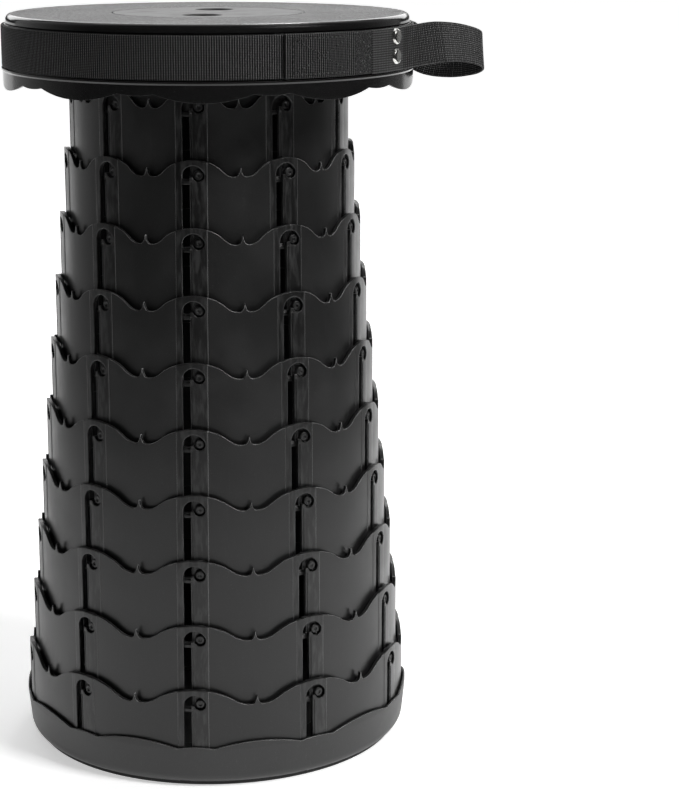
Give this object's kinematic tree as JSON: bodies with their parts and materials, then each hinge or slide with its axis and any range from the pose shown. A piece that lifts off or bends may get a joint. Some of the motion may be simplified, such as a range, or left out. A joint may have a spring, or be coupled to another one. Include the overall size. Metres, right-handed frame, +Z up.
{
  "type": "camp stool",
  "caption": "Round telescoping stool: nested scalloped rings collapse into a low disc under a round seat with a webbing belt and carry loop.",
  "frame": {"origin": "on the floor at the stool's axis, at full height", "axes": "+Z up along the stack of rings, -Y towards the front"},
  "size_m": [0.2932, 0.2498, 0.4516],
  "materials": {
    "ring_plastic": "satin moulded black",
    "base_plastic": "satin moulded dark grey",
    "foot_rubber": "matt black rubber",
    "seat_cover_plastic": "pebbled matt top with a glossy rounded rim",
    "medallion_plastic": "smooth satin black",
    "seat_body_plastic": "polished black",
    "screw_steel": "zinc plated",
    "webbing": "ribbed woven black webbing",
    "hook_tape": "napped black hook tape",
    "rivet_steel": "domed, nickel plated"
  },
  "bodies": {
    "base": {"base_ring": "base_plastic", "base_cover": "base_plastic", "foot_ring": "foot_rubber", "ring_10": "ring_plastic"},
    "stage_9": {"ring_9": "ring_plastic"},
    "stage_8": {"ring_8": "ring_plastic"},
    "stage_7": {"ring_7": "ring_plastic"},
    "stage_6": {"ring_6": "ring_plastic"},
    "stage_5": {"ring_5": "ring_plastic"},
    "stage_4": {"ring_4": "ring_plastic"},
    "stage_3": {"ring_3": "ring_plastic"},
    "stage_2": {"ring_2": "ring_plastic"},
    "stage_1": {"ring_1": "ring_plastic"},
    "seat": {"seat_collar": "ring_plastic", "seat_body": "seat_body_plastic", "seat_cover": "seat_cover_plastic", "seat_medallion": "medallion_plastic", "collar_screws": "screw_steel", "belt": "webbing", "belt_flap": "webbing", "hook_patch": "hook_tape", "handle_loop": "webbing", "rivets": "rivet_steel", "rivet_washers": "rivet_steel"}
  },
  "joints": [
    {"name": "collapse", "type": "slide", "parent": "base", "child": "stage_9", "axis": [0, 0, -1], "range_m": [0, 0.0388]},
    {"name": "stage_8_slide", "type": "slide", "parent": "stage_9", "child": "stage_8", "axis": [0, 0, -1], "range_m": [0, 0.0388]},
    {"name": "stage_7_slide", "type": "slide", "parent": "stage_8", "child": "stage_7", "axis": [0, 0, -1], "range_m": [0, 0.0388]},
    {"name": "stage_6_slide", "type": "slide", "parent": "stage_7", "child": "stage_6", "axis": [0, 0, -1], "range_m": [0, 0.0388]},
    {"name": "stage_5_slide", "type": "slide", "parent": "stage_6", "child": "stage_5", "axis": [0, 0, -1], "range_m": [0, 0.0388]},
    {"name": "stage_4_slide", "type": "slide", "parent": "stage_5", "child": "stage_4", "axis": [0, 0, -1], "range_m": [0, 0.0388]},
    {"name": "stage_3_slide", "type": "slide", "parent": "stage_4", "child": "stage_3", "axis": [0, 0, -1], "range_m": [0, 0.0388]},
    {"name": "stage_2_slide", "type": "slide", "parent": "stage_3", "child": "stage_2", "axis": [0, 0, -1], "range_m": [0, 0.0388]},
    {"name": "stage_1_slide", "type": "slide", "parent": "stage_2", "child": "stage_1", "axis": [0, 0, -1], "range_m": [0, 0.0388]},
    {"name": "seat_slide", "type": "slide", "parent": "stage_1", "child": "seat", "axis": [0, 0, -1], "range_m": [0, 0.03317]}
  ],
  "couplings": [
    {"joint": "stage_8_slide", "follows": "collapse", "ratio": 1},
    {"joint": "stage_7_slide", "follows": "collapse", "ratio": 1},
    {"joint": "stage_6_slide", "follows": "collapse", "ratio": 1},
    {"joint": "stage_5_slide", "follows": "collapse", "ratio": 1},
    {"joint": "stage_4_slide", "follows": "collapse", "ratio": 1},
    {"joint": "stage_3_slide", "follows": "collapse", "ratio": 1},
    {"joint": "stage_2_slide", "follows": "collapse", "ratio": 1},
    {"joint": "stage_1_slide", "follows": "collapse", "ratio": 1},
    {"joint": "seat_slide", "follows": "collapse", "ratio": 0.855}
  ]
}
